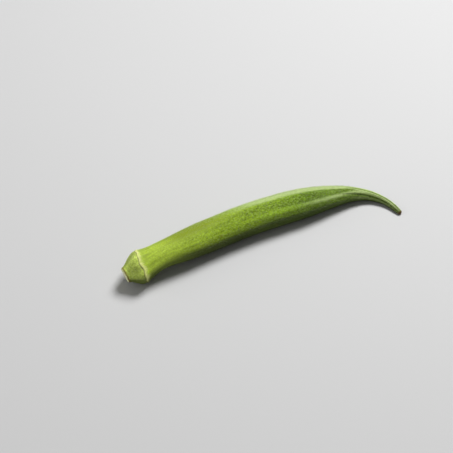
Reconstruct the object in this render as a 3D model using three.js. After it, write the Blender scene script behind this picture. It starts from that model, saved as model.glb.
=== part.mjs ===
// An okra pod as picked, lying on its side: a ribbed, gently arched seed pod with a hooked tip,
// and the stem cap that it grew from, cut through at the stalk. The two meet at a scalloped seam.
// Millimetres, +Z up. The origin is on the surface, under the middle of the pod. +X runs from the
// cut stalk to the tip, and the pod arches towards +Y.

import * as THREE from "three";

// The centre line of cap and pod as they lie, from the cut end of the stalk to the tip.
const ROUTE = [
  [-66.0, -8.37, 6.07],
  [-57.2, -6.2, 7.05],
  [-48.7, -4.3, 8.4],
  [-35.9, -1.5, 8.0],
  [-20.9, 2.1, 7.0],
  [-5.9, 4.9, 6.93],
  [9.1, 6.6, 6.62],
  [24.1, 7.4, 6.3],
  [37.1, 8.1, 5.2],
  [47.1, 7.9, 3.85],
  [55.3, 5.6, 2.5],
  [60.3, 1.8, 1.8],
  [63.4, -2.7, 1.25],
  [65.8, -8.7, 0.8],
];

const CAP_LENGTH = 8.3; // along the centre line, from the cut to the seam
const POD_LENGTH = 133.6; // along the centre line, from the seam to the tip
const SEAM_GAP = 0.3; // clearance between the two pieces
const RIBS = 5; // main ribs
const TOP = Math.PI / 2; // direction of the upper rib round the centre line
const TWIST = -0.1; // radians that the ribs turn through from the cut to the tip
const TIP_TWIST = -0.16; // radians that they turn through on top of that, in the tapered part
const TAPER = [104, 126]; // where that part lies, by distance from the cut

// The fold between each two ribs of the belly.
const FOLD_HEIGHT = 0.2;
const FOLD_TURN = 0.9; // how far it is from their middle, with 2 pi from rib to rib
const FOLD_CLIMB = 4.1; // how far it has turned back towards the rib above it after its climb
const FOLD_CLIMBS = [98, 133]; // by distance from the cut
const FOLD_RISES = [50, 75];
const FOLD_FADES = [118, 130];

// [distance from the cut, radius] down the side of the cap.
const CUT_RADIUS = 3.5;
const SEAM_RADIUS = 7.4;
const CAP_PROFILE = [
  [0.3, CUT_RADIUS],
  [1.7, 4.0],
  [3.2, 5.0],
  [4.8, 6.1],
  [6.4, 7.0],
  [CAP_LENGTH - SEAM_GAP / 2, SEAM_RADIUS],
];

// The cut face, from its middle outwards: pith, a little sunk, inside the rind.
const CUT_FACE = [
  [0.1, 0],
  [0.08, 2.1],
  [0, 2.6],
  [0.04, 3.3],
];

// [distance from the seam, radius] down the side of the pod: flared collar, neck, belly and tip.
const POD_PROFILE = [
  [SEAM_GAP / 2, SEAM_RADIUS],
  [1.2, 7.2],
  [2.8, 6.75],
  [5.2, 6.3],
  [8.2, 6.03],
  [11.5, 6.02],
  [16, 6.3],
  [22, 6.75],
  [31, 7.12],
  [40, 7.25],
  [52, 7.2],
  [66, 7.08],
  [76, 6.9],
  [85, 6.4],
  [94, 5.4],
  [103, 4.1],
  [112, 2.65],
  [121, 1.7],
  [POD_LENGTH - 2, 1.1],
  [POD_LENGTH - 0.4, 0.85],
];

// [distance from the cut, depth of the main ribs as a share of the radius].
const RIB_DEPTH = [
  [0, 0.02],
  [4, 0.055],
  [9, 0.035],
  [20, 0.02],
  [45, 0.03],
  [62, 0.042],
  [80, 0.048],
  [98, 0.05],
  [115, 0.06],
  [142, 0.08],
];

// [distance from the cut, height of the faint rib between them]: under 0 it is a furrow.
const BETWEEN_RIBS = [
  [0, 0.006],
  [9, 0.014],
  [20, 0.006],
  [62, 0.011],
  [90, 0.008],
  [118, -0.01],
  [142, -0.014],
];

// Slopes of the cut and of the seam towards the near side (-Y) and towards the top.
const CUT_LEAN = new THREE.Vector2(-0.076, -0.087);
const SEAM_LEAN = new THREE.Vector2(-0.22, -0.07);
const LEAN_REACH = 12; // distance past the seam over which its slope fades away
const SEAM_WAVE = 0.22; // half the height of the scallops along the seam

const AROUND = 50; // facets round each piece
const CAP_STEPS = 12; // facets along the side of the cap
const POD_STEPS = 66; // facets along the pod

const centreLine = new THREE.CatmullRomCurve3(ROUTE.map((point) => new THREE.Vector3(...point)));
centreLine.arcLengthDivisions = 1400;
const wholeLength = centreLine.getLength();

// The value at a distance, eased from one [distance, value] pair to the next.
function easedValue(pairs, distance) {
  const next = pairs.findIndex(([at]) => at > distance);
  if (next < 1) return pairs.at(next)[1];
  const [from, low] = pairs[next - 1];
  const [to, high] = pairs[next];
  return THREE.MathUtils.lerp(low, high, THREE.MathUtils.smoothstep(distance, from, to));
}

// The radius with its ribs, furrows and folds.
function ribbedRadius(radius, angle, along) {
  const twist = (TWIST * along) / wholeLength + TIP_TWIST * THREE.MathUtils.smoothstep(along, ...TAPER);
  const turn = RIBS * (angle - TOP - twist);
  const rib = easedValue(RIB_DEPTH, along) * Math.cos(turn);
  const between = easedValue(BETWEEN_RIBS, along) * Math.cos(2 * turn);
  const foldTurn = FOLD_TURN - FOLD_CLIMB * THREE.MathUtils.smoothstep(along, ...FOLD_CLIMBS);
  const foldShare = (0.5 - 0.5 * Math.cos(turn + foldTurn)) ** 6;
  const raised = THREE.MathUtils.smoothstep(along, ...FOLD_RISES);
  const faded = THREE.MathUtils.smoothstep(along, ...FOLD_FADES);
  return radius * (1 + rib + between) + FOLD_HEIGHT * foldShare * raised * (1 - faded);
}

// How far a point across the stem is moved along it by the slope of cut and seam and the scallops.
function shiftAlong(across, along) {
  const scallop = SEAM_WAVE * Math.cos(2 * RIBS * (across.angle() - TOP));
  const atCut = CUT_LEAN.dot(across);
  const atSeam = SEAM_LEAN.dot(across) - scallop * (across.length() / SEAM_RADIUS) ** 2;
  const fromCut = THREE.MathUtils.clamp(along / CAP_LENGTH, 0, 1);
  const pastSeam = THREE.MathUtils.smoothstep(along, CAP_LENGTH, CAP_LENGTH + LEAN_REACH);
  return THREE.MathUtils.lerp(atCut, atSeam, fromCut) * (1 - pastSeam);
}

// The place of a point: so far along the centre line, then across it to the near side and upwards.
function placeOnRoute(along, across) {
  const share = THREE.MathUtils.clamp(along / wholeLength, 0, 1);
  const forward = centreLine.getTangentAt(share);
  const nearSide = forward.clone().cross(new THREE.Vector3(0, 0, 1)).normalize();
  const upwards = nearSide.clone().cross(forward);
  return centreLine
    .getPointAt(share)
    .addScaledVector(forward, along - share * wholeLength)
    .addScaledVector(nearSide, across.x)
    .addScaledVector(upwards, across.y);
}

// Turns [distance, radius] points into a closed round piece, gives it its ribs and slopes, lays it
// along the centre line from its start, and presses it flat where it rests on the surface.
function makePiece(name, points, start, material) {
  const outline = points.map(([along, radius]) => new THREE.Vector2(radius, along));
  const geometry = new THREE.LatheGeometry(outline, AROUND);
  const position = geometry.getAttribute("position");
  for (let i = 0; i < position.count; i += 1) {
    const across = new THREE.Vector2(position.getX(i), position.getZ(i));
    const along = start + position.getY(i);
    across.setLength(ribbedRadius(across.length(), across.angle(), along));
    const point = placeOnRoute(along + shiftAlong(across, along), across);
    position.setXYZ(i, point.x, point.y, Math.max(point.z, 0));
  }
  geometry.computeVertexNormals();
  const mesh = new THREE.Mesh(geometry, material);
  mesh.name = name;
  return mesh;
}

// A smooth line through [distance, radius] points, in even steps.
function smoothProfile(pairs, steps) {
  const curve = new THREE.SplineCurve(pairs.map((pair) => new THREE.Vector2(...pair)));
  return curve.getSpacedPoints(steps).map((point) => point.toArray());
}

// The stem cap: the cone that the pod grew from, with the cut stalk at its narrow end.
function makeStemCap() {
  const seam = CAP_LENGTH - SEAM_GAP / 2;
  const points = [...CUT_FACE, ...smoothProfile(CAP_PROFILE, CAP_STEPS), [seam, 0]];
  const material = new THREE.MeshStandardMaterial({ color: 0x7f9a45, roughness: 0.75, metalness: 0 });
  return makePiece("stem_cap", points, 0, material);
}

// The pod: one seed capsule, closed at the seam and ending in a blunt tip.
function makePod() {
  const tip = [[POD_LENGTH, 0.5], [POD_LENGTH, 0]];
  const points = [[SEAM_GAP / 2, 0], ...smoothProfile(POD_PROFILE, POD_STEPS), ...tip];
  const material = new THREE.MeshStandardMaterial({ color: 0x86a83c, roughness: 0.65, metalness: 0 });
  return makePiece("pod", points, CAP_LENGTH, material);
}

const group = new THREE.Group();
group.add(makeStemCap());
group.add(makePod());

export default group;
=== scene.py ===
"""The look of an okra pod, laid out as a Blender add-on and run as a script.

Geometry Nodes sweep a finely ribbed skin for the pod and a wrinkled one for the stem cap along the
centre line, and grow the short down on both. A pale studio stage and the camera come last.
Lengths in the tables, and on the sweep until its last step, are in millimetres; along means along
the centre line from the cut stalk. Across it, side points to the near side and up upwards.
"""

import math

import bpy
import numpy as np
from bpy.props import FloatProperty, FloatVectorProperty, IntProperty, PointerProperty
from bpy.types import Operator, Panel, PropertyGroup
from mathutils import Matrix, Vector


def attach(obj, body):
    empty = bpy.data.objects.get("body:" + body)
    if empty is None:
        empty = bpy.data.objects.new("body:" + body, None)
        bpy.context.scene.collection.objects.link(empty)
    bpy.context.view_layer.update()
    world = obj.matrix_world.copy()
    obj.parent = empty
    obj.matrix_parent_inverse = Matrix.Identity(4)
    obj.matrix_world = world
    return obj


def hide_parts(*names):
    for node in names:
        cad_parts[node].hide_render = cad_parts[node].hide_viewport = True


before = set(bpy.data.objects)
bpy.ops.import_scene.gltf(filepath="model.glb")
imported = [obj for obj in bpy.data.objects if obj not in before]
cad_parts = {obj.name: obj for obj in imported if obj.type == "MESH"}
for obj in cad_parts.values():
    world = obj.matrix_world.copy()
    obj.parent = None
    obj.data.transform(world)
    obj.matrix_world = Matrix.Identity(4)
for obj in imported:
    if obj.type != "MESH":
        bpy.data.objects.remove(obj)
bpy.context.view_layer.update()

bl_info = {
    "name": "Okra Pod",
    "version": (1, 0, 0),
    "blender": (4, 5, 0),
    "location": "View3D > Sidebar > Okra",
    "description": "Builds a downy okra pod with its stem cap on a studio floor",
    "category": "Add Mesh",
}

MM = 0.001
BODY = "root"

# ---------------------------------------------------------------------------------------------
# The form, as the solids have it
# ---------------------------------------------------------------------------------------------

# The centre line of cap and pod as they lie, from the cut end of the stalk to the tip.
ROUTE = [
    (-66.0, -8.37, 6.07),
    (-57.2, -6.2, 7.05),
    (-48.7, -4.3, 8.4),
    (-35.9, -1.5, 8.0),
    (-20.9, 2.1, 7.0),
    (-5.9, 4.9, 6.93),
    (9.1, 6.6, 6.62),
    (24.1, 7.4, 6.3),
    (37.1, 8.1, 5.2),
    (47.1, 7.9, 3.85),
    (55.3, 5.6, 2.5),
    (60.3, 1.8, 1.8),
    (63.4, -2.7, 1.25),
    (65.8, -8.7, 0.8),
]

CAP_LENGTH = 8.3  # along the centre line, from the cut to the seam
POD_LENGTH = 133.6  # along the centre line, from the seam to the tip
RIBS = 5  # main ribs
TOP = math.pi / 2  # direction of the upper rib round the centre line
TWIST = -0.1  # radians that the ribs turn through from the cut to the tip
TIP_TWIST = -0.16  # radians that they turn through on top of that, in the tapered part
TAPER = (104.0, 126.0)  # where that part lies, by distance from the cut
FOLD_TURN = 0.9  # how far the fold between two ribs is from their middle, with 2 pi from rib to rib
FOLD_CLIMB = 4.1  # how far it has turned back towards the rib above it at the end of its climb
LIT_SIDE = math.radians(105)  # the side that the painted shade leaves lightest, which lies up and a little away
SEAM_RADIUS = 7.4

# Where each form comes up or, with the longer distance first, sinks again, by distance from the cut.
FOLD_CLIMBS = (98.0, 133.0)
FOLD_RISES = (50.0, 75.0)
FOLD_FADES = (130.0, 118.0)
CREST_RISES = (35.0, 75.0)
FURROW_RISES = (102.0, 118.0)

# How narrow each form is: the power to which a wave from 0 to 1 is raised.
CREST_SHARPNESS = 20.0
FOLD_SHARPNESS = 6.0
FURROW_SHARPNESS = 16.0
GROOVE_SHARPNESS = 14.0
NICK_SHARPNESS = 90.0

# (distance from the seam, radius): a rolled lip, the flared collar, neck, belly and tip.
POD_OUTLINE = [
    (0.0, 7.12),
    (0.1, 7.36),
    (0.5, 7.54),
    (1.0, 7.42),
    (1.7, 7.12),
    (2.8, 6.77),
    (5.2, 6.31),
    (8.2, 6.03),
    (11.5, 6.02),
    (16, 6.3),
    (22, 6.75),
    (31, 7.12),
    (40, 7.25),
    (52, 7.2),
    (66, 7.08),
    (76, 6.9),
    (85, 6.4),
    (94, 5.4),
    (103, 4.1),
    (112, 2.65),
    (121, 1.7),
    (POD_LENGTH - 2, 1.1),
    (POD_LENGTH - 0.4, 0.85),
    (POD_LENGTH - 0.05, 0.5),
    (POD_LENGTH, 0.05),
]

# (distance from the cut, radius): the pith, a little sunk, inside the rind, then the stalk, its
# swelling cone and the edge that is tucked in at the seam.
CAP_OUTLINE = [
    (0.1, 0.05),
    (0.1, 0.5),
    (0.09, 1.2),
    (0.08, 1.8),
    (0.05, 2.2),
    (0.0, 2.55),
    (0.0, 2.9),
    (0.04, 3.24),
    (0.16, 3.42),
    (0.45, 3.56),
    (1.7, 4.0),
    (3.2, 5.0),
    (4.8, 6.1),
    (6.4, 7.0),
    (7.6, 7.3),
    (CAP_LENGTH - 0.1, 7.24),
]

# (distance from the cut, depth of the main ribs as a share of the radius).
RIB_DEPTH = [
    (0, 0.02),
    (4, 0.055),
    (9, 0.035),
    (20, 0.02),
    (45, 0.03),
    (62, 0.042),
    (80, 0.048),
    (98, 0.05),
    (115, 0.06),
    (142, 0.08),
]

# (distance from the cut, height of the faint rib between them): under 0 it is a furrow.
BETWEEN_RIBS = [
    (0, 0.006),
    (9, 0.014),
    (20, 0.006),
    (62, 0.011),
    (90, 0.008),
    (118, -0.01),
    (142, -0.014),
]

# Slopes of the cut and of the seam towards the near side and towards the top.
CUT_LEAN = np.array([-0.076, -0.087])
SEAM_LEAN = np.array([-0.22, -0.07])
LEAN_REACH = 12.0  # distance past the seam over which its slope fades away
SEAM_WAVE = 0.22  # half the height of the scallops along the seam
NICK = 0.75  # depth of the nick in the seam
NICK_AT = math.radians(68)  # its direction round the centre line

ROUTE_SAMPLES = 160  # points of the centre line between two of its places
OUTLINE_SAMPLES = 40  # points of an outline between two of its pairs
POD_RINGS = (1.7, 0.11, 0.345)  # reach of the fine rings, their step, and the step of the others
CAP_RINGS = (4.5, 0.09, 0.13)
MERGE_REACH = 0.0005  # closes the two ends of a skin, whose last rings have no radius

# How fast each relief of a skin changes in a millimetre to the side, along it and up.
SWELL_RATE = (0.14, 0.07, 0.14)
LINE_SWAY_RATE = (0.05, 0.03, 0.05)
LINE_BREAK_RATE = (0.35, 0.06, 0.35)
CREASE_RATE = (0.9, 0.75, 0.9)
LINE_SWAY = 9.0  # radians of their wave by which the fine lines stray

MIDDLE = 0.5  # of a noise, which runs from 0 to 1


def catmull_rom(points, samples):
    """A dense line through the points: centripetal, with its ends run straight on."""
    points = np.array(points, float)
    knots = np.vstack([2 * points[0] - points[1], points, 2 * points[-1] - points[-2]])
    share = np.linspace(0, 1, samples, endpoint=False)[:, None]
    line = []
    for a, b, c, d in zip(knots, knots[1:], knots[2:], knots[3:]):
        before, here, after = (math.sqrt(math.dist(p, q)) for p, q in ((a, b), (b, c), (c, d)))
        slope_b = here * ((b - a) / before - (c - a) / (before + here) + (c - b) / here)
        slope_c = here * ((c - b) / here - (d - b) / (here + after) + (d - c) / after)
        square = -3 * b + 3 * c - 2 * slope_b - slope_c
        cube = 2 * b - 2 * c + slope_b + slope_c
        line.append(b + share * (slope_b + share * (square + share * cube)))
    return np.vstack(line + [points[-1:]])


def lengths_along(line):
    """How far along the line each of its points lies."""
    return np.concatenate([[0], np.cumsum(np.linalg.norm(np.diff(line, axis=0), axis=1))])


def smooth_outline(points, fine_reach, fine_step, step):
    """The smooth line through (distance, radius) points, in fine steps at first and then longer ones."""
    line = catmull_rom(points, OUTLINE_SAMPLES)
    at = lengths_along(line)
    fine = np.arange(0, fine_reach, fine_step)
    wanted = np.concatenate([fine, np.arange(fine_reach, at[-1], step), at[-1:]])
    return np.stack([np.interp(wanted, at, column) for column in line.T], axis=1)


def smoothstep(value, low, high):
    """0 at low and before, 1 at high and past it, eased between."""
    share = np.clip((value - low) / (high - low), 0, 1)
    return share * share * (3 - 2 * share)


def eased_value(pairs, distance):
    """The value at each distance, eased from one (distance, value) pair to the next."""
    at, values = np.array(pairs, float).T
    k = np.clip(np.searchsorted(at, distance, side="right") - 1, 0, len(at) - 2)
    return values[k] + (values[k + 1] - values[k]) * smoothstep(distance, at[k], at[k + 1])


CENTRE_LINE = catmull_rom(ROUTE, ROUTE_SAMPLES)
WHOLE_LENGTH = lengths_along(CENTRE_LINE)[-1]


# ---------------------------------------------------------------------------------------------
# Node trees, written as sums
# ---------------------------------------------------------------------------------------------


class Wire:
    """An output socket that sums can be made with: each sum adds the node that works it out."""

    def __init__(self, nodes, socket):
        self.nodes = nodes
        self.socket = socket

    def output(self, identifier):
        """Another output of the same node."""
        found = next(s for s in self.socket.node.outputs if s.identifier == identifier)
        return Wire(self.nodes, found)

    def maths(self, operation, *values):
        inputs = dict(zip(("Value", "Value_001"), values))
        return self.nodes.add("ShaderNodeMath", {"operation": operation}, inputs)

    def vector_maths(self, operation, *values):
        inputs = dict(zip(("Vector", "Vector_001"), values))
        return self.nodes.add("ShaderNodeVectorMath", {"operation": operation}, inputs)

    def __add__(self, other):
        return self.maths("ADD", self, other)

    def __radd__(self, other):
        return self.maths("ADD", other, self)

    def __sub__(self, other):
        return self.maths("SUBTRACT", self, other)

    def __rsub__(self, other):
        return self.maths("SUBTRACT", other, self)

    def __mul__(self, other):
        return self.maths("MULTIPLY", self, other)

    def __rmul__(self, other):
        return self.maths("MULTIPLY", other, self)

    def __truediv__(self, other):
        return self.maths("DIVIDE", self, other)

    def __rtruediv__(self, other):
        return self.maths("DIVIDE", other, self)

    def __pow__(self, other):
        return self.maths("POWER", self, other)

    def __neg__(self):
        return self.maths("MULTIPLY", self, -1.0)

    def cosine(self):
        return self.maths("COSINE", self)

    def sine(self):
        return self.maths("SINE", self)

    def at_least(self, low):
        return self.maths("MAXIMUM", self, low)

    def at_most(self, high):
        return self.maths("MINIMUM", self, high)

    def rise(self, low, high):
        """0 up to low, 1 from high on, eased between. With low above high it falls instead."""
        inputs = {"Value": self, "From Min": low, "From Max": high}
        return self.nodes.add("ShaderNodeMapRange", {"interpolation_type": "SMOOTHSTEP"}, inputs)

    def from_low(self, low):
        """From low to 1, where this one runs from 0 to 1."""
        return low + (1.0 - low) * self

    def plus(self, vector):
        return self.vector_maths("ADD", self, vector)

    def times(self, vector):
        return self.vector_maths("MULTIPLY", self, vector)

    def cross(self, vector):
        return self.vector_maths("CROSS_PRODUCT", self, vector)

    def unit(self):
        return self.vector_maths("NORMALIZE", self)

    def scaled(self, factor):
        inputs = {"Vector": self, "Scale": factor}
        return self.nodes.add("ShaderNodeVectorMath", {"operation": "SCALE"}, inputs)

    def parts(self):
        """The three parts of a vector."""
        x = self.nodes.add("ShaderNodeSeparateXYZ", {}, {"Vector": self})
        return x, x.output("Y"), x.output("Z")


class Nodes:
    """Adds nodes to one tree."""

    def __init__(self, tree):
        self.tree = tree

    def add(self, kind, settings=None, inputs=None, output=None):
        """A node of a type: its settings first, then the values or wires of its sockets."""
        node = self.tree.nodes.new(kind)
        for title, value in (settings or {}).items():
            if title == "stops":
                self.set_stops(node.color_ramp, value)
            else:
                setattr(node, title, value)
        for identifier, value in (inputs or {}).items():
            socket = next(s for s in node.inputs if s.identifier == identifier)
            if isinstance(value, Wire):
                self.tree.links.new(value.socket, socket)
            else:
                socket.default_value = value
        shown = (s for s in node.outputs if s.enabled and output in (None, s.identifier))
        return Wire(self, next(shown, None))

    @staticmethod
    def set_stops(ramp, stops):
        """Gives a colour ramp its (position, colour) stops."""
        while len(ramp.elements) < len(stops):
            ramp.elements.new(1.0)
        for element, (position, colour) in zip(ramp.elements, stops):
            element.position = position
            element.color = colour

    def vector(self, x, y, z):
        return self.add("ShaderNodeCombineXYZ", {}, {"X": x, "Y": y, "Z": z})

    def noise(self, place, scale, detail=2.0, roughness=0.5, output="Fac"):
        inputs = {"Vector": place, "Scale": scale, "Detail": detail, "Roughness": roughness}
        return self.add("ShaderNodeTexNoise", {"noise_dimensions": "3D"}, inputs, output)

    def cells(self, place, scale, feature="F1"):
        inputs = {"Vector": place, "Scale": scale}
        return self.add("ShaderNodeTexVoronoi", {"feature": feature}, inputs, "Distance")

    def mix(self, factor, first, second):
        inputs = {"Factor_Float": factor, "A_Color": first, "B_Color": second}
        return self.add("ShaderNodeMix", {"data_type": "RGBA"}, inputs)

    def bump(self, height, strength, distance):
        inputs = {"Strength": strength, "Distance": distance, "Height": height}
        return self.add("ShaderNodeBump", {}, inputs, "Normal")

    def ramp(self, value, stops):
        return self.add("ShaderNodeValToRGB", {"stops": stops}, {"Fac": value}, "Color")


# ---------------------------------------------------------------------------------------------
# Geometry Nodes
# ---------------------------------------------------------------------------------------------


def geometry_tree(title, inputs):
    """A tree that takes a geometry and the named inputs: its Nodes, and its input wires by name."""
    tree = bpy.data.node_groups.new(title, "GeometryNodeTree")
    tree.interface.new_socket("Geometry", in_out="INPUT", socket_type="NodeSocketGeometry")
    for name, kind in inputs:
        tree.interface.new_socket(name, in_out="INPUT", socket_type="NodeSocket" + kind)
    tree.interface.new_socket("Geometry", in_out="OUTPUT", socket_type="NodeSocketGeometry")
    nodes = Nodes(tree)
    entry = tree.nodes.new("NodeGroupInput")
    return nodes, {s.name: Wire(nodes, s) for s in entry.outputs if s.name}


def end_tree(nodes, geometry, material):
    """Ends a tree: everything becomes one mesh, with its material."""
    real = nodes.add("GeometryNodeRealizeInstances", {}, {"Geometry": geometry})
    done = nodes.add("GeometryNodeSetMaterial", {}, {"Geometry": real, "Material": material})
    leave = nodes.tree.nodes.new("NodeGroupOutput")
    nodes.tree.links.new(done.socket, leave.inputs[0])
    return nodes.tree


def read(nodes, name, data_type="FLOAT"):
    """An attribute of the geometry."""
    return nodes.add("GeometryNodeInputNamedAttribute", {"data_type": data_type}, {"Name": name})


def store(nodes, geometry, name, value, data_type="FLOAT"):
    """The geometry with a value kept on its points as an attribute."""
    settings = {"data_type": data_type, "domain": "POINT"}
    inputs = {"Geometry": geometry, "Name": name, "Value": value}
    return nodes.add("GeometryNodeStoreNamedAttribute", settings, inputs)


def grow(name, tree, start, values):
    """Runs a tree on a start mesh and keeps what it makes as a plain object at the origin."""
    source = bpy.data.objects.new("source", start)
    bpy.context.scene.collection.objects.link(source)
    modifier = source.modifiers.new("grow", "NODES")
    modifier.node_group = tree
    for socket in tree.interface.items_tree:
        if socket.in_out == "INPUT" and socket.name in values:
            modifier[socket.identifier] = values[socket.name]
    depsgraph = bpy.context.evaluated_depsgraph_get()
    made = source.evaluated_get(depsgraph)
    mesh = bpy.data.meshes.new_from_object(made, preserve_all_data_layers=True, depsgraph=depsgraph)
    source.modifiers.remove(modifier)
    bpy.data.objects.remove(source)
    if not mesh.polygons:
        raise RuntimeError(f"{name}: the tree made no faces")
    mesh.name = name
    piece = bpy.data.objects.new(name, mesh)
    bpy.context.scene.collection.objects.link(piece)
    return piece


def centre_line_curve():
    """The centre line as a curve object, which the skins are swept along."""
    curve = bpy.data.curves.new("centre_line", "CURVE")
    curve.dimensions = "3D"
    line = curve.splines.new("POLY")
    line.points.add(len(CENTRE_LINE) - 1)
    line.points.foreach_set("co", np.column_stack([CENTRE_LINE, np.ones(len(CENTRE_LINE))]).ravel())
    holder = bpy.data.objects.new("centre_line", curve)
    bpy.context.scene.collection.objects.link(holder)
    return holder


def fold_turn(along):
    """How far the fold between two ribs is from their middle, so far along the pod."""
    return FOLD_TURN - FOLD_CLIMB * along.rise(*FOLD_CLIMBS)


def ring_line(outline, start):
    """A line with a point for each ring of a skin, and what that ring is made by as attributes."""
    poles = [(outline[0, 0], 0)], [(outline[-1, 0], 0)]
    distance, radius = np.vstack([poles[0], outline, poles[1]]).T
    along = start + distance
    from_cut = np.clip(along / CAP_LENGTH, 0, 1)
    reach = 1 - smoothstep(along, CAP_LENGTH, CAP_LENGTH + LEAN_REACH)
    lean = (CUT_LEAN + (SEAM_LEAN - CUT_LEAN) * from_cut[:, None]) * reach[:, None]
    rings = {
        "along": along,
        "ring_radius": radius,
        "rib_depth": eased_value(RIB_DEPTH, along),
        "between_ribs": eased_value(BETWEEN_RIBS, along),
        "lean_side": lean[:, 0],
        "lean_up": lean[:, 1],
        "scallop": SEAM_WAVE * from_cut * reach,
    }
    count = len(distance)
    mesh = bpy.data.meshes.new("rings")
    places = [(0, number, 0) for number in range(count)]
    mesh.from_pydata(places, [(number, number + 1) for number in range(count - 1)], [])
    for name, values in rings.items():
        mesh.attributes.new(name, "FLOAT", "POINT").data.foreach_set("value", values.astype(np.float32))
    return mesh


SKIN_INPUTS = [
    ("Centre line", "Object"),
    ("Around", "Int"),
    ("Ribs", "Int"),
    ("Twist", "Float"),
    ("Unevenness", "Float"),
    ("Crest height", "Float"),
    ("Fold height", "Float"),
    ("Furrow depth", "Float"),
    ("Line count", "Int"),
    ("Line height", "Float"),
    ("Wrinkle height", "Float"),
    ("Material", "Material"),
]


def skin_tree():
    """Sweeps a skin: rings round the centre line, with ribs, furrows, fine lines and wrinkles."""
    nodes, given = geometry_tree("okra skin", SKIN_INPUTS)
    faces = {"Resolution": given["Around"]}
    circle = nodes.add("GeometryNodeCurvePrimitiveCircle", {"mode": "RADIUS"}, faces)
    turned = nodes.add("GeometryNodeInputIndex") / given["Around"] * math.tau
    profile = store(nodes, circle, "angle", turned)
    path = nodes.add("GeometryNodeMeshToCurve", {}, {"Mesh": given["Geometry"]})
    tube = nodes.add("GeometryNodeCurveToMesh", {}, {"Curve": path, "Profile Curve": profile})

    angle, along, radius = (read(nodes, name) for name in ("angle", "along", "ring_radius"))
    from_top = angle - TOP
    turn = given["Ribs"] * (from_top - given["Twist"] * along / WHOLE_LENGTH - TIP_TWIST * along.rise(*TAPER))
    ribs = read(nodes, "rib_depth") * turn.cosine() + read(nodes, "between_ribs") * (2.0 * turn).cosine()
    place = nodes.vector(angle.cosine() * radius, along, angle.sine() * radius)
    swell = nodes.noise(place.times(SWELL_RATE), 1.0) - MIDDLE
    line_sway = LINE_SWAY * (nodes.noise(place.times(LINE_SWAY_RATE), 1.0) - MIDDLE)
    line_strength = nodes.noise(place.times(LINE_BREAK_RATE), 1.0).rise(0.35, 0.7)
    lines = (given["Line count"] * angle + line_sway).cosine() * line_strength
    crease = nodes.noise(place.times(CREASE_RATE), 1.0, 4.0, 0.6) - MIDDLE
    relief = given["Unevenness"] * swell + given["Line height"] * lines + given["Wrinkle height"] * crease
    crest = ((turn.cosine() + 1.0) * 0.5) ** CREST_SHARPNESS * along.rise(*CREST_RISES)
    fold = (0.5 - 0.5 * (turn + fold_turn(along)).cosine()) ** FOLD_SHARPNESS
    fold = fold * along.rise(*FOLD_RISES) * along.rise(*FOLD_FADES)
    furrow = (0.5 - 0.5 * turn.cosine()) ** FURROW_SHARPNESS
    furrow = furrow * along.rise(*FURROW_RISES) * radius.rise(0.6, 2.2)
    relief = relief + given["Crest height"] * crest + given["Fold height"] * fold
    relief = relief - given["Furrow depth"] * furrow
    spread = radius * (1.0 + ribs) + relief * radius.rise(0.2, 2.0)

    # The cut, the seam with its scallops and nick, and the way along the centre line.
    side, up = spread * angle.cosine(), spread * angle.sine()
    nick = ((angle - NICK_AT).cosine() * 0.5 + 0.5) ** NICK_SHARPNESS * (NICK / SEAM_WAVE)
    wave = (given["Ribs"] * 2.0 * from_top).cosine() + nick
    scallop = read(nodes, "scallop") * wave * (spread / SEAM_RADIUS) ** 2.0
    shifted = along + read(nodes, "lean_side") * side + read(nodes, "lean_up") * up - scallop
    line = nodes.add("GeometryNodeObjectInfo", {}, {"Object": given["Centre line"]}, "Geometry")
    inside = shifted.at_least(0.0).at_most(float(WHOLE_LENGTH))
    by_length = {"mode": "LENGTH", "use_all_curves": True}
    sample = {"Curves": line, "Length": inside}
    centre = nodes.add("GeometryNodeSampleCurve", by_length, sample, "Position")
    forward = centre.output("Tangent")
    near_side = forward.cross((0, 0, 1)).unit()
    upwards = near_side.cross(forward)
    across = near_side.scaled(side).plus(upwards.scaled(up))
    x, y, z = centre.plus(forward.scaled(shifted - inside)).plus(across).parts()

    tube = store(nodes, tube, "straight", nodes.vector(side, along, up), "FLOAT_VECTOR")
    tube = store(nodes, tube, "grain", forward, "FLOAT_VECTOR")
    above = nodes.vector(x, y, z.at_least(0.0))
    laid = nodes.add("GeometryNodeSetPosition", {}, {"Geometry": tube, "Position": above})
    closed = nodes.add("GeometryNodeMergeByDistance", {}, {"Geometry": laid, "Distance": MERGE_REACH})
    outwards = nodes.add("GeometryNodeFlipFaces", {}, {"Mesh": closed})
    metres = nodes.add("GeometryNodeTransform", {}, {"Geometry": outwards, "Scale": (MM, MM, MM)})
    smooth = nodes.add("GeometryNodeSetShadeSmooth", {}, {"Geometry": metres, "Shade Smooth": True})
    return end_tree(nodes, smooth, given["Material"])


def make_skin(name, outline, start, values):
    """A closed skin of rings along the outline, which starts so far along the centre line."""
    holder = centre_line_curve()
    given = {"Centre line": holder, "Ribs": RIBS, "Twist": TWIST}
    piece = grow(name, skin_tree(), ring_line(outline, start), given | values)
    curve = holder.data
    bpy.data.objects.remove(holder)
    bpy.data.curves.remove(curve)
    return piece


DOWN_INPUTS = [
    ("Density", "Float"),
    ("Length", "Float"),
    ("Width", "Float"),
    ("Lean", "Float"),
    ("Spread", "Float"),
    ("Bare until", "Float"),
    ("Full from", "Float"),
    ("Seed", "Int"),
    ("Material", "Material"),
]


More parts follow.
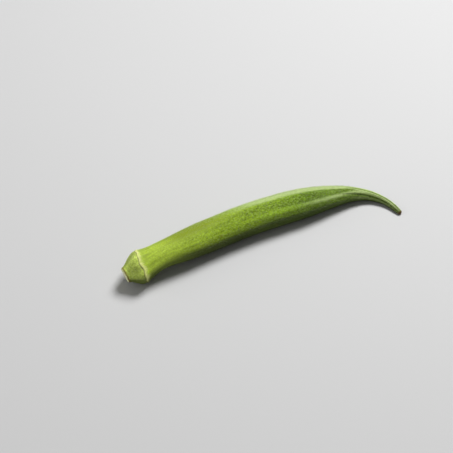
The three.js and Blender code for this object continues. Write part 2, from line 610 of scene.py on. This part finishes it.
HAIR_SIDES = 3
HAIR_SINK = 0.08  # how deep a root sits, as a share of the hair's length
HAIR_SIZES = (0.45, 1.25)  # of the smallest and the largest, as shares of the given size
TIP_HAIR = 0.55  # size of those on the thin end of the pod, with 1 on the belly
TIP_RADII = (1.0, 5.0)  # radii of the pod between which they grow to that
SPARSEST = 0.35  # density near the seam, with 1 where the down is full
PATCH_RATE = (0.5, 0.25, 0.5)  # of its patches, in a millimetre to the side, along and up
BARE_HEIGHTS = (0.3 * MM, 1.1 * MM)  # above the floor, between which the down comes in
WORN_HEIGHTS = (10.0 * MM, 14.0 * MM)  # above the floor, between which its longest hairs shorten
LONGEST_HAIR = 0.77 * MM
HAIR_WEAR = 0.32 * MM  # how much shorter the longest is on top of the pod


def down_tree():
    """Grows down on a skin: hairs that lean towards the tip, worn short on top of the pod.

    The skin stays bare where it lies on the floor.
    """
    nodes, given = geometry_tree("okra down", DOWN_INPUTS)
    seed = given["Seed"]
    _, _, height = nodes.add("GeometryNodeInputPosition").parts()
    straight = read(nodes, "straight", "FLOAT_VECTOR")
    _, along, _ = straight.parts()
    patchy = nodes.noise(straight.times(PATCH_RATE), 1.0).rise(0.2, 0.6)
    growing = along.rise(given["Full from"] * 0.3, given["Full from"]).from_low(SPARSEST)
    downy = (along - given["Bare until"]).rise(0.0, 2.0) * height.rise(*BARE_HEIGHTS)
    downy = downy * growing * patchy.from_low(0.4)
    at_random = {"distribute_method": "RANDOM"}
    scatter = {"Mesh": given["Geometry"], "Density": given["Density"] * downy, "Seed": seed}
    points = nodes.add("GeometryNodeDistributePointsOnFaces", at_random, scatter, "Points")
    stray = nodes.add(
        "FunctionNodeRandomValue",
        {"data_type": "FLOAT_VECTOR"},
        {"Min": (-1, -1, -1), "Max": (1, 1, 1), "Seed": seed + 1.0},
    )
    smallest, largest = HAIR_SIZES
    size = nodes.add(
        "FunctionNodeRandomValue",
        {"data_type": "FLOAT"},
        {"Min_001": smallest, "Max_001": largest, "Seed": seed + 2.0},
    )
    grain = read(nodes, "grain", "FLOAT_VECTOR")
    way = points.output("Normal").plus(grain.scaled(given["Lean"])).plus(stray.scaled(given["Spread"]))
    turned = nodes.add("FunctionNodeAlignRotationToVector", {"axis": "Z"}, {"Vector": way})
    cone = {"Vertices": HAIR_SIDES, "Radius Top": 0.0, "Radius Bottom": 0.5, "Depth": 1.0}
    hair = nodes.add("GeometryNodeMeshCone", {"fill_type": "NGON"}, cone)
    rooted = nodes.add("GeometryNodeTransform", {}, {"Geometry": hair, "Translation": (0, 0, -HAIR_SINK)})
    size = size * read(nodes, "ring_radius").rise(*TIP_RADII).from_low(TIP_HAIR)
    width = given["Width"] * size
    longest = LONGEST_HAIR - HAIR_WEAR * height.rise(*WORN_HEIGHTS)
    spread = {"Points": points, "Instance": rooted, "Rotation": turned}
    spread["Scale"] = nodes.vector(width, width, (given["Length"] * size).at_most(longest))
    hairs = nodes.add("GeometryNodeInstanceOnPoints", {}, spread)
    real = nodes.add("GeometryNodeRealizeInstances", {}, {"Geometry": hairs})
    x, y, z = nodes.add("GeometryNodeInputPosition").parts()
    above = nodes.vector(x, y, z.at_least(0.0))
    laid = nodes.add("GeometryNodeSetPosition", {}, {"Geometry": real, "Position": above})
    return end_tree(nodes, laid, given["Material"])


# ---------------------------------------------------------------------------------------------
# Materials
# ---------------------------------------------------------------------------------------------


def rgb(colour):
    """A colour setting with full opacity."""
    return (*colour, 1.0)


def new_material(name, uniform):
    """A material with its shader. The uniform values are set on the shader's own sockets."""
    material = bpy.data.materials.new(name)
    material.use_nodes = True
    material.node_tree.nodes.clear()
    nodes = Nodes(material.node_tree)
    shader = nodes.add("ShaderNodeBsdfPrincipled", {}, uniform)
    nodes.add("ShaderNodeOutputMaterial", {}, {"Surface": shader})
    return material, nodes, shader.socket.node


def wire_in(nodes, shader, **wires):
    """Feeds the shader's varying sockets: base_color, roughness and normal."""
    for name, wire in wires.items():
        nodes.tree.links.new(wire.socket, shader.inputs[name.replace("_", " ").title()])


def straight_parts(nodes):
    """The unbent place of a point on the skin, in millimetres, and its side, along and up parts."""
    place = nodes.add("ShaderNodeAttribute", {"attribute_name": "straight"}, {}, "Vector")
    return (place, *place.parts())


def from_centre(side, up):
    """Distance of a point from the centre line."""
    return (side * side + up * up) ** 0.5


def rib_wave(side, along, up, turned=0.0):
    """1 on the middle of a rib, -1 in the furrow between two, if it isn't turned from there."""
    angle = side.maths("ARCTAN2", up, side)
    twist = along * (TWIST / WHOLE_LENGTH) + TIP_TWIST * along.rise(*TAPER)
    return (float(RIBS) * (angle - TOP - twist) + turned).cosine()


def lit_side_wave(side, up, radius):
    """1 on the side that the painted shade leaves lightest, -1 on the opposite side, where it is darkest."""
    return (math.cos(LIT_SIDE) * side + math.sin(LIT_SIDE) * up) / radius


# Where each look of the pod comes up or, with the larger number first, fades: by distance from the
# cut for the first two, by share of the pod's length for the others.
LIP_FADES = (CAP_LENGTH + 2.4, CAP_LENGTH + 0.3)
SCAR_FADES = (CAP_LENGTH + 0.2, CAP_LENGTH + 0.02)
GRAIN_RISES = (0.0, 0.55)
FAR_NECK_SHADE_FADES = (0.45, 0.2)
FOLD_PALES = (0.35, 0.5)
FOLD_DULLS = (0.93, 0.84)
FROST_SHEEN_RISES = (0.29, 0.49)
FROST_SHEEN_FADES = (0.83, 0.75)
LIT_RIDGE_RISES = (0.78, 0.85)
LIT_RIDGE_FADES = (1.03, 0.95)
GROOVE_RISES = (0.78, 0.87)
DRY_RISES = (0.989, 0.999)


def pod_material(settings):
    """Fresh skin: a cream lip, a lime neck and a green belly, mottled, streaked and flecked."""
    uniform = {"Specular IOR Level": 0.12, "Sheen Weight": settings.sheen, "Sheen Roughness": 0.45}
    uniform["Sheen Tint"] = (0.9, 0.95, 0.8, 1.0)
    material, nodes, shader = new_material("okra pod skin", uniform)
    place, side, along, up = straight_parts(nodes)
    rib = rib_wave(side, along, up)
    share = (along - CAP_LENGTH) / POD_LENGTH
    radius = from_centre(side, up)
    away, facing_up = -(side / radius), up / radius

    # The ground colour, from the seam to the tip.
    drift = 0.12 * (nodes.noise(place.times((0.12, 0.03, 0.12)), 1.0) - MIDDLE)
    colour = nodes.ramp(
        share + drift * share.rise(0.03, 0.15),
        [
            (0.0, rgb(settings.neck)),
            (0.09, rgb(settings.neck)),
            (0.3, rgb(settings.shoulder)),
            (0.62, rgb(settings.belly)),
            (0.86, rgb(settings.taper)),
            (1.0, rgb(settings.tip)),
        ],
    )

    # Markings, by how fast they change in a millimetre to the side, along and up.
    patches = nodes.noise(place.times((0.22, 0.1, 0.22)), 1.0, 2.0)
    bands = nodes.noise(place.times((0.5, 0.02, 0.5)), 1.0, 1.0)
    streaks = nodes.noise(place.times((1.4, 0.06, 1.4)), 1.0, 3.0)
    specks = nodes.noise(place.times((1.8, 1.5, 1.8)), 1.0, 2.0)
    grains = nodes.noise(place.times((1.15, 0.95, 1.15)), 1.0, 1.0)
    fine = nodes.noise(place.times((3.2, 2.4, 3.2)), 1.0, 1.0)
    dots = nodes.cells(place.times((1.25, 1.1, 1.25)), 1.0).rise(0.38, 0.05)
    grainy = share.rise(*GRAIN_RISES)
    tone = 0.95 + 0.25 * (patches - MIDDLE) + 0.45 * (bands - MIDDLE)
    tone = tone + (0.6 + 0.5 * grainy) * (streaks - MIDDLE)
    tone = tone + (0.4 + 0.3 * grainy) * (fine - MIDDLE) - 0.12 * share.rise(0.07, 0.02)
    tone = tone + (0.5 + 0.7 * grainy) * (specks - MIDDLE) + (0.3 + 1.6 * grainy) * (grains - MIDDLE)
    tone = (tone + (0.2 + 0.6 * grainy) * dots + 0.08 * rib).at_least(0.5)
    fold = (0.5 - 0.5 * rib_wave(side, along, up, fold_turn(along))) ** FOLD_SHARPNESS
    fold = fold * share.rise(*FOLD_PALES) * share.rise(*FOLD_DULLS)
    colour = colour.scaled(tone + 0.6 * fold)
    # Pale dots in the frost colour, partly hair roots and partly painted glints of the down.
    colour = nodes.mix(0.4 * dots * grainy, colour, rgb(settings.frost_and_sheen))

    # Painted shade: the neck's far, upward-facing side made duller, as if shade fell on it.
    far_neck_shade = away.rise(-0.55, 0.0) * share.rise(*FAR_NECK_SHADE_FADES) * share.rise(0.05, 0.16).from_low(0.25)
    colour = nodes.mix(far_neck_shade * 0.88 * facing_up.rise(0.0, 0.5), colour, rgb(settings.far_neck_shade))

    # The bloom on the far side of the belly, and on the ribs and the fold near the tip: partly the down's own
    # paleness, partly a painted sheen on the sides that face up and away.
    far_side_sheen = (away + 0.2 * share.rise(0.55, 0.8)).rise(-0.05, 0.2)
    far_side_sheen = far_side_sheen * (share + 0.2 * (patches - MIDDLE)).rise(*FROST_SHEEN_RISES) * share.rise(*FROST_SHEEN_FADES)
    lit_ridges = rib.rise(-0.4, 0.4) * share.rise(*LIT_RIDGE_RISES) * share.rise(*LIT_RIDGE_FADES)
    lit_ridges = (lit_ridges + fold * share.rise(0.56, 0.7)).at_most(1.0)
    lit_ridges = lit_ridges * (facing_up + 0.4 * share.rise(0.7, 0.8)).rise(0.45, 0.65)
    frost_and_sheen_mask = (far_side_sheen * facing_up.rise(-0.3, 0.3)).at_least(lit_ridges)
    frost_and_sheen_mask = frost_and_sheen_mask * (0.32 + 0.34 * specks.rise(0.3, 0.6) + 0.34 * grains.rise(0.3, 0.6))
    colour = nodes.mix(frost_and_sheen_mask, colour, rgb(settings.frost_and_sheen))
    colour = nodes.mix(0.5 * dots * frost_and_sheen_mask, colour, rgb(settings.lip))

    # The lip, then painted shade: darker underneath and towards the near side, less so near the seam and on
    # the lip, and darker in the grooves near the tip.
    lip = (along + 3.0 * (specks - MIDDLE) + 2.5 * (streaks - MIDDLE)).rise(*LIP_FADES)
    colour = nodes.mix(lip, colour, rgb(settings.lip))
    painted_light_level = (lit_side_wave(side, up, radius) + 0.3 * share.rise(0.16, 0.05) + 0.4 * lip).rise(-0.2, 0.55)
    deepest_painted_shade = 0.3 - 0.12 * share.rise(0.1, 0.2) * share.rise(0.45, 0.35) + 0.1 * share.rise(0.6, 0.75)
    groove = (0.5 - 0.5 * rib) ** GROOVE_SHARPNESS * share.rise(*GROOVE_RISES)
    colour = colour.scaled(painted_light_level.from_low(deepest_painted_shade) * (1.0 - 0.6 * groove))

    # The scar at the seam, the dry end and the flecks.
    broken = nodes.noise(place.times((0.35, 0.35, 0.35)), 1.0).rise(0.46, 0.6)
    scar = along.rise(*SCAR_FADES) * (0.02 + 0.25 * broken)
    colour = nodes.mix(scar, colour, rgb(settings.scar))
    dry = (share + 0.02 * (specks - MIDDLE)).rise(*DRY_RISES)
    colour = nodes.mix(dry, colour, rgb(settings.dry))
    flecks = nodes.cells(place.times((0.16, 0.1, 0.16)), 1.0)
    flecked = flecks.rise(0.1, 0.03) * specks.rise(0.35, 0.6)
    colour = nodes.mix(flecked * 0.7, colour, rgb(settings.fleck))

    bumped = nodes.bump(0.5 * fine + 0.6 * streaks + 0.4 * specks, 0.35, 0.1 * MM)
    wire_in(nodes, shader, base_color=colour, roughness=0.42 + 0.25 * specks, normal=bumped)
    return material


# The cut stalk, by distance from its middle or, for a depth, along from the cut, in millimetres.
# A pair with the larger number first is where a part ends.
CUT_EDGE, CUT_DEPTH = (3.5, 3.36), (0.3, 0.2)
RIND_RISES = (1.9, 2.7)
VESSEL_RISES, VESSEL_FADES = (1.9, 2.2), (2.75, 2.45)
BROWN_RISES, BROWN_DEPTH = (3.38, 3.5), (1.05, 0.65)
VESSELS = 28.0  # round the cut
SEAM_BROWNS = (CAP_LENGTH - 0.5, CAP_LENGTH - 0.15)


def cap_material(settings):
    """Matte olive skin with veins and darker specks, and the pale cut stalk with its brown edge."""
    uniform = {"Specular IOR Level": 0.14, "Sheen Weight": 0.01}
    material, nodes, shader = new_material("okra stem cap", uniform)
    place, side, along, up = straight_parts(nodes)
    rib = rib_wave(side, along, up)
    specks = nodes.noise(place.times((1.8, 1.5, 1.8)), 1.0, 3.0, 0.6)
    fine = nodes.noise(place.times((4.0, 4.0, 4.0)), 1.0, 1.0)
    wander = nodes.noise(place.times((0.5, 0.5, 0.5)), 1.0, output="Color").scaled(1.6)
    veins = nodes.cells(place.times((0.5, 1.0, 0.5)).plus(wander), 1.0, "DISTANCE_TO_EDGE")
    vein = veins.rise(0.14, 0.0)
    colour = nodes.mix(specks.rise(0.35, 0.62), rgb(settings.speck), rgb(settings.skin))
    colour = nodes.mix(0.45 * vein, colour, rgb(settings.vein))
    from_middle = from_centre(side, up)
    # Painted shade: the cap darker underneath and on its far side.
    far_side_shade = (side / from_middle).rise(0.1, -0.45)
    painted_light_level = (up / from_middle).rise(-0.15, 0.6) * (1.0 - 0.45 * far_side_shade)
    colour = colour.scaled((1.0 + 0.1 * rib + 0.5 * (fine - MIDDLE)) * painted_light_level.from_low(0.28))
    broken = nodes.noise(place.times((0.35, 0.35, 0.35)), 1.0).rise(0.46, 0.6)
    seam_edge = (along + 0.3 * (specks - MIDDLE)).rise(*SEAM_BROWNS)
    colour = nodes.mix(seam_edge * (0.05 + 0.25 * broken), colour, rgb(settings.edge))

    # The cut: pith and rind with a ring of vessels between them, dried in patches, and a brown edge.
    on_cut = from_middle.rise(*CUT_EDGE) * along.rise(*CUT_DEPTH)
    blurred = from_middle + 0.5 * (specks - MIDDLE)
    cut = nodes.mix(blurred.rise(*RIND_RISES), rgb(settings.pith), rgb(settings.rind))
    vessel = (VESSELS * side.maths("ARCTAN2", up, side) + 6.0 * specks).cosine().rise(-0.2, 0.9)
    vessel = vessel * blurred.rise(*VESSEL_RISES) * blurred.rise(*VESSEL_FADES)
    cut = nodes.mix(0.6 * vessel, cut, rgb(settings.speck))
    dried = nodes.noise(place.times((0.9, 0.9, 0.9)), 1.0, 3.0).rise(0.5, 0.7)
    cut = nodes.mix(0.45 * dried, cut, rgb(settings.dried))
    cut = cut.scaled(1.0 + 0.4 * (fine - MIDDLE))
    colour = nodes.mix(on_cut, colour, cut)
    browned = (from_middle + 0.2 * (specks - MIDDLE)).rise(*BROWN_RISES)
    browned = browned * (along + 0.4 * (specks - MIDDLE)).rise(*BROWN_DEPTH)
    colour = nodes.mix(browned * (0.65 + 0.3 * broken), colour, rgb(settings.edge))

    bumped = nodes.bump(0.5 * fine + 0.7 * specks + 0.5 * vein, 0.5, 0.15 * MM)
    wire_in(nodes, shader, base_color=colour, roughness=0.6 + 0.2 * specks, normal=bumped)
    return material


def down_material(settings):
    """Pale down, greener on some hairs than on others, with painted shade: darker underneath and towards the
    near side.
    """
    uniform = {"Specular IOR Level": 0.3, "Sheen Weight": 0.2}
    material, nodes, shader = new_material("okra down", uniform)
    place, side, _, up = straight_parts(nodes)
    tint = nodes.noise(place, 1.5)
    painted_light_level = lit_side_wave(side, up, from_centre(side, up)).rise(-0.6, 0.5)
    colour = nodes.mix(tint * painted_light_level.from_low(0.3), rgb(settings.tint), rgb(settings.colour))
    colour = colour.scaled(painted_light_level.from_low(0.35))
    wire_in(nodes, shader, base_color=colour, roughness=0.5 + 0.2 * tint)
    return material


def floor_material(settings):
    """Smooth pale board, a touch darker in places."""
    material, nodes, shader = new_material("studio floor", {"Specular IOR Level": 0.2})
    place = nodes.add("ShaderNodeTexCoord", {}, {}, "Object")
    cloud = nodes.noise(place, 6.0)
    colour = nodes.mix(cloud, rgb(settings.floor), rgb([0.99 * part for part in settings.floor]))
    wire_in(nodes, shader, base_color=colour, roughness=0.7 + 0.05 * cloud)
    return material


# ---------------------------------------------------------------------------------------------
# Settings
# ---------------------------------------------------------------------------------------------


def colour_setting(name, description, default):
    """A linear colour that a user can change."""
    return FloatVectorProperty(
        name=name, description=description, subtype="COLOR", size=3, min=0, max=1, default=default
    )


def relief_setting(name, description, default):
    """A height or depth of a skin's relief that a user can change."""
    return FloatProperty(name=name, description=description + ", in millimetres", default=default)


class OkraPodSettings(PropertyGroup):
    around: IntProperty(name="Around", description="Faces round the pod", default=228, min=50)
    unevenness: relief_setting("Unevenness", "Depth of the soft swells along the pod", 0.5)
    crest_height: relief_setting("Crest height", "Height of the crest on each rib", 0.26)
    fold_height: relief_setting("Fold height", "Height of the fold between each two ribs", 0.2)
    furrow_depth: relief_setting("Furrow depth", "Depth of the sharp furrows near the tip", 0.3)
    line_count: IntProperty(name="Fine lines", description="Fine lines round the pod", default=46)
    line_height: relief_setting("Line height", "Height of the fine lines", 0.03)
    sheen: FloatProperty(name="Sheen", description="Bloom of the finest down", default=0.02, min=0, max=1)
    lip: colour_setting("Lip", "The rolled edge at the seam", (0.76, 0.8, 0.28))
    far_neck_shade: colour_setting("Far neck shade", "The duller skin on the neck's far side", (0.2, 0.26, 0.015))
    frost_and_sheen: colour_setting("Frost and sheen", "The bloom of down on the far side of the belly", (0.46, 0.57, 0.24))
    neck: colour_setting("Neck", "The skin near the seam", (0.46, 0.62, 0.06))
    shoulder: colour_setting("Shoulder", "The skin where the pod has swelled", (0.3, 0.44, 0.022))
    belly: colour_setting("Belly", "The skin over the seeds", (0.155, 0.26, 0.016))
    taper: colour_setting("Taper", "The skin of the tapered part", (0.15, 0.24, 0.025))
    tip: colour_setting("Tip", "The skin of the tip", (0.1, 0.15, 0.02))
    dry: colour_setting("Dry end", "The dried end of the tip", (0.12, 0.07, 0.03))
    scar: colour_setting("Scar", "The line at the seam", (0.2, 0.11, 0.03))
    fleck: colour_setting("Flecks", "Small marks on the skin", (0.25, 0.12, 0.04))


class OkraCapSettings(PropertyGroup):
    around: IntProperty(name="Around", description="Faces round the cap", default=228, min=50)
    wrinkle_height: relief_setting("Wrinkles", "Height of the wrinkles", 0.35)
    skin: colour_setting("Skin", "The skin of the cap", (0.6, 0.75, 0.12))
    speck: colour_setting("Specks", "Darker specks in the skin", (0.36, 0.48, 0.07))
    vein: colour_setting("Veins", "Paler veins in the skin", (0.75, 0.86, 0.28))
    edge: colour_setting("Edge", "The browned edges at cut and seam", (0.2, 0.11, 0.04))
    pith: colour_setting("Pith", "The middle of the cut stalk", (0.84, 0.82, 0.62))
    rind: colour_setting("Rind", "The ring round the pith", (0.72, 0.75, 0.4))
    dried: colour_setting("Dried patches", "Where the cut has dried", (0.55, 0.42, 0.2))


class OkraDownSettings(PropertyGroup):
    pod_density: FloatProperty(
        name="Pod density", description="Hairs on the pod, in a square metre", default=16e6
    )
    bristle_density: FloatProperty(
        name="Bristle density", description="Bristles on the pod, in a square metre", default=2.6e6
    )
    bristle_size: FloatProperty(
        name="Bristle size", description="Size of a bristle, with a hair of the down as 1", default=2.1
    )
    cap_density: FloatProperty(
        name="Cap density", description="Hairs on the cap, in a square metre", default=5e6
    )
    length: FloatProperty(
        name="Length", description="Length of a hair", default=0.42 * MM, unit="LENGTH", precision=5
    )
    width: FloatProperty(
        name="Width",
        description="Width of a hair at its root",
        default=0.045 * MM,
        unit="LENGTH",
        precision=5,
    )
    lean: FloatProperty(name="Lean", description="Lean towards the tip", default=0.4)
    spread: FloatProperty(name="Spread", description="How far the hairs stray from one way", default=0.45)
    seed: IntProperty(name="Seed", description="Which of the random growths is used", default=7)
    colour: colour_setting("Down", "The paler hairs", (0.82, 0.88, 0.58))
    tint: colour_setting("Down tint", "The greener hairs", (0.4, 0.54, 0.16))


class OkraStageSettings(PropertyGroup):
    floor: colour_setting("Floor", "The studio floor", (0.6, 0.6, 0.6))
    floor_size: FloatProperty(name="Floor size", description="Side of the floor", default=4.0, unit="LENGTH")
    key: FloatProperty(
        name="Key light", description="The soft light above and behind", default=10.0, unit="POWER"
    )
    side: FloatProperty(
        name="Side light", description="The weaker light beyond the cut", default=2.0, unit="POWER"
    )
    sky: FloatProperty(name="Sky", description="Brightness of the pale surroundings", default=0.15)
    distance: FloatProperty(name="Camera distance", description="From the pod", default=0.63, unit="LENGTH")
    lens: FloatProperty(name="Lens", description="Focal length", default=111.26, unit="CAMERA")
    elevation: FloatProperty(
        name="Camera height", description="Angle above the floor", default=math.radians(46.5), unit="ROTATION"
    )
    azimuth: FloatProperty(
        name="Camera side", description="Angle to the side", default=math.radians(-19), unit="ROTATION"
    )


# ---------------------------------------------------------------------------------------------
# Lights and camera
# ---------------------------------------------------------------------------------------------

POD_MIDDLE = Vector((-14.7, 4.25, 7.0)) * MM  # what the lights and the camera face
KEY_PLACE = Vector((0.405, 0.283, 0.79))
KEY_SIZE = 0.4
SIDE_PLACE = Vector((-0.8, 0.14, 0.38))
SIDE_SIZE = 0.8
WHITE = (1, 1, 1, 1)
SENSOR_WIDTH = 36


def aim(thing, place, target):
    """Puts a light or camera in a place and turns it to face the target."""
    thing.location = place
    thing.rotation_euler = (target - place).to_track_quat("-Z", "Y").to_euler()


def add_light(name, place, power, size):
    """A soft square light that faces the pod."""
    lamp = bpy.data.lights.new(name, "AREA")
    lamp.energy = power
    lamp.size = size
    light = bpy.data.objects.new(name, lamp)
    bpy.context.scene.collection.objects.link(light)
    aim(light, place, POD_MIDDLE)


def add_camera(settings):
    """The camera, looking down on the pod from in front of it and a little to its left."""
    lens = bpy.data.cameras.new("camera")
    lens.lens = settings.lens
    lens.sensor_width = SENSOR_WIDTH
    camera = bpy.data.objects.new("camera", lens)
    bpy.context.scene.collection.objects.link(camera)
    level = math.cos(settings.elevation)
    side, front = math.sin(settings.azimuth) * level, -math.cos(settings.azimuth) * level
    way = Vector((side, front, math.sin(settings.elevation)))
    aim(camera, POD_MIDDLE + settings.distance * way, POD_MIDDLE)
    bpy.context.scene.camera = camera


# ---------------------------------------------------------------------------------------------
# Operators
# ---------------------------------------------------------------------------------------------


class OKRA_OT_pod_skin(Operator):
    """Sweep the pod's skin from the seam to the tip"""

    bl_idname = "okra.pod_skin"
    bl_label = "Pod skin"

    def execute(self, context):
        settings = context.scene.okra_pod
        outline = smooth_outline(POD_OUTLINE, *POD_RINGS)
        values = {
            "Around": settings.around,
            "Unevenness": settings.unevenness,
            "Crest height": settings.crest_height,
            "Fold height": settings.fold_height,
            "Furrow depth": settings.furrow_depth,
            "Line count": settings.line_count,
            "Line height": settings.line_height,
            "Material": pod_material(settings),
        }
        skin = make_skin("pod_skin", outline, CAP_LENGTH, values)
        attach(skin, BODY)
        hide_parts("pod")
        return {"FINISHED"}


class OKRA_OT_cap_skin(Operator):
    """Sweep the stem cap's skin from the cut stalk to the seam"""

    bl_idname = "okra.cap_skin"
    bl_label = "Stem cap skin"

    def execute(self, context):
        settings = context.scene.okra_cap
        outline = smooth_outline(CAP_OUTLINE, *CAP_RINGS)
        values = {
            "Around": settings.around,
            "Wrinkle height": settings.wrinkle_height,
            "Material": cap_material(settings),
        }
        skin = make_skin("cap_skin", outline, 0.0, values)
        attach(skin, BODY)
        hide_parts("stem_cap")
        return {"FINISHED"}


# How far each growth stays bare and where it is full, by distance from the cut.
DOWN_REACHES = {
    "pod_down": (CAP_LENGTH + 0.2, 75.0),
    "pod_bristles": (CAP_LENGTH + 0.8, 60.0),
    "cap_down": (0.6, 1.0),
}
CAP_HAIR = 0.6  # size of a hair on the cap, with one on the pod as 1


class OKRA_OT_down(Operator):
    """Grow the short down on the pod and, thinner, on the cap"""

    bl_idname = "okra.down"
    bl_label = "Down"

    def execute(self, context):
        settings = context.scene.okra_down
        material = down_material(settings)
        tree = down_tree()
        growths = [
            ("pod_down", "pod_skin", settings.pod_density, 1.0),
            ("pod_bristles", "pod_skin", settings.bristle_density, settings.bristle_size),
            ("cap_down", "cap_skin", settings.cap_density, CAP_HAIR),
        ]
        for name, skin, density, scale in growths:
            bare_until, full_from = DOWN_REACHES[name]
            values = {
                "Density": density,
                "Length": settings.length * scale,
                "Width": settings.width * scale,
                "Full from": full_from,
                "Lean": settings.lean,
                "Spread": settings.spread,
                "Bare until": bare_until,
                "Seed": settings.seed,
                "Material": material,
            }
            down = grow(name, tree, bpy.data.objects[skin].data.copy(), values)
            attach(down, BODY)
        return {"FINISHED"}


class OKRA_OT_stage(Operator):
    """Lay the pale floor and set the soft lights and the camera"""

    bl_idname = "okra.stage"
    bl_label = "Stage"

    def execute(self, context):
        settings = context.scene.okra_stage
        half = settings.floor_size / 2
        mesh = bpy.data.meshes.new("floor")
        corners = [(-half, -half, 0), (half, -half, 0), (half, half, 0), (-half, half, 0)]
        mesh.from_pydata(corners, [], [(0, 1, 2, 3)])
        mesh.materials.append(floor_material(settings))
        floor = bpy.data.objects.new("floor", mesh)
        context.scene.collection.objects.link(floor)

        add_light("key_light", KEY_PLACE, settings.key, KEY_SIZE)
        add_light("side_light", SIDE_PLACE, settings.side, SIDE_SIZE)
        world = bpy.data.worlds.new("studio")
        world.use_nodes = True
        sky = world.node_tree.nodes["Background"]
        sky.inputs["Color"].default_value = WHITE
        sky.inputs["Strength"].default_value = settings.sky
        context.scene.world = world
        context.scene.view_settings.view_transform = "Standard"
        add_camera(settings)
        return {"FINISHED"}


class OKRA_PT_panel(Panel):
    """The operators, in the order in which they run"""

    bl_label = "Okra pod"
    bl_idname = "OKRA_PT_panel"
    bl_space_type = "VIEW_3D"
    bl_region_type = "UI"
    bl_category = "Okra"

    def draw(self, context):
        for operator in OPERATORS:
            self.layout.operator(operator.bl_idname)


OPERATORS = [OKRA_OT_pod_skin, OKRA_OT_cap_skin, OKRA_OT_down, OKRA_OT_stage]
SETTINGS = {
    "okra_pod": OkraPodSettings,
    "okra_cap": OkraCapSettings,
    "okra_down": OkraDownSettings,
    "okra_stage": OkraStageSettings,
}


def register():
    for settings in SETTINGS.values():
        bpy.utils.register_class(settings)
    for name, settings in SETTINGS.items():
        setattr(bpy.types.Scene, name, PointerProperty(type=settings))
    for operator in OPERATORS:
        bpy.utils.register_class(operator)
    bpy.utils.register_class(OKRA_PT_panel)


def unregister():
    bpy.utils.unregister_class(OKRA_PT_panel)
    for operator in reversed(OPERATORS):
        bpy.utils.unregister_class(operator)
    for name, settings in reversed(SETTINGS.items()):
        delattr(bpy.types.Scene, name)
        bpy.utils.unregister_class(settings)


def main():
    """Builds everything."""
    register()
    bpy.ops.okra.pod_skin()
    bpy.ops.okra.cap_skin()
    bpy.ops.okra.down()
    bpy.ops.okra.stage()


if __name__ == "__main__":
    main()
